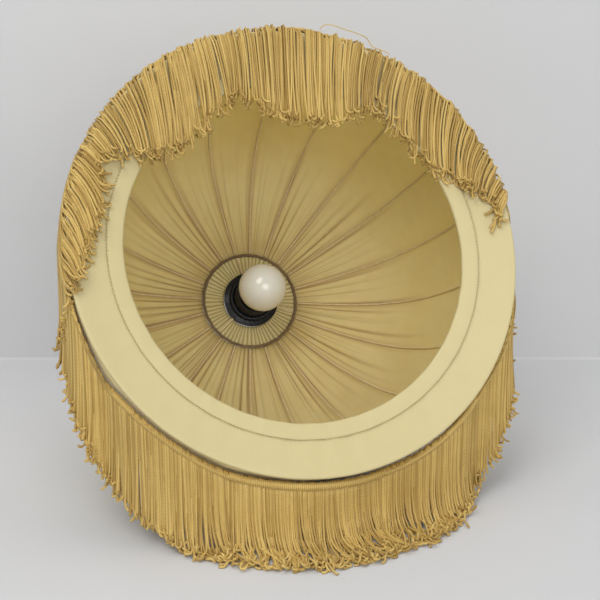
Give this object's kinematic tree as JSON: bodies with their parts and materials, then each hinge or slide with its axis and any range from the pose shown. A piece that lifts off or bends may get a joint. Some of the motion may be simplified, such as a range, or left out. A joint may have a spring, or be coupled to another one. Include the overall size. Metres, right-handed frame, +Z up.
{
  "type": "lamp shade",
  "caption": "Gathered-silk dome lamp shade on a wire frame, with a satin under-brim, a scalloped bullion fringe, a lampholder and a golf-ball bulb, lying on its side.",
  "frame": {"origin": "on the floor, under the middle of the box round the shade as it lies", "axes": "+Z up; the shade's opening faces mostly -Y, turned 17.3 degrees towards +X and leaning 27.6 degrees up"},
  "size_m": [0.4378, 0.3964, 0.4211],
  "materials": {
    "silk": "satin",
    "satin": "satin",
    "bullion": "satin",
    "taped_wire": "matte",
    "bakelite": "gloss",
    "porcelain": "satin",
    "brass": "satin",
    "bulb_metal": "satin",
    "dark_glass": "gloss",
    "opal_glass": "gloss"
  },
  "bodies": {
    "shade": {"outer_rim_wire": "taped_wire", "opening_wire": "taped_wire", "crown_ring": "taped_wire", "rib_01": "taped_wire", "rib_02": "taped_wire", "rib_03": "taped_wire", "rib_04": "taped_wire", "rib_05": "taped_wire", "rib_06": "taped_wire", "rib_07": "taped_wire", "rib_08": "taped_wire", "rib_09": "taped_wire", "rib_10": "taped_wire", "rib_11": "taped_wire", "rib_12": "taped_wire", "rib_13": "taped_wire", "rib_14": "taped_wire", "rib_15": "taped_wire", "rib_16": "taped_wire", "rib_17": "taped_wire", "rib_18": "taped_wire", "rib_19": "taped_wire", "rib_20": "taped_wire", "rim_strut_1": "taped_wire", "rim_strut_2": "taped_wire", "rim_strut_3": "taped_wire", "rim_strut_4": "taped_wire", "rim_strut_5": "taped_wire", "fitter_ring": "taped_wire", "spider_arm_1": "taped_wire", "spider_arm_2": "taped_wire", "spider_arm_3": "taped_wire", "dome_cover_1": "silk", "dome_cover_2": "silk", "crown_pleats": "silk", "under_brim": "satin", "opening_binding": "satin", "fringe_header": "bullion", "fringe_swag_01": "bullion", "fringe_swag_02": "bullion", "fringe_swag_03": "bullion", "fringe_swag_04": "bullion", "fringe_swag_05": "bullion", "fringe_swag_06": "bullion", "fringe_swag_07": "bullion", "fringe_swag_08": "bullion", "fringe_swag_09": "bullion", "fringe_swag_10": "bullion", "holder_skirt": "bakelite", "stop_ring": "bakelite", "holder_cap": "bakelite", "cord_grip": "bakelite", "holder_insert": "porcelain", "screw_shell": "brass", "centre_contact": "brass"},
    "ring": {"shade_ring": "bakelite"},
    "bulb_seat": {"bulb_eyelet": "bulb_metal"},
    "bulb": {"bulb_insulator": "dark_glass", "bulb_cap": "bulb_metal", "bulb_glass": "opal_glass"}
  },
  "joints": [
    {"name": "ring_unscrew", "type": "slide", "parent": "shade", "child": "ring", "axis": [0.264, -0.8462, 0.4628], "range_m": [0, 0.016]},
    {"name": "bulb_travel", "type": "slide", "parent": "shade", "child": "bulb_seat", "axis": [0.264, -0.8462, 0.4628], "range_m": [0, 0.0127]},
    {"name": "bulb_turn", "type": "hinge", "parent": "bulb_seat", "child": "bulb", "pos_m": [-0.03372, 0.08579, 0.161], "axis": [0.264, -0.8462, 0.4628], "range_deg": [0, 1260]}
  ],
  "couplings": [
    {"joint": "bulb_travel", "follows": "bulb_turn", "m_per_rad": 0.00057614}
  ]
}
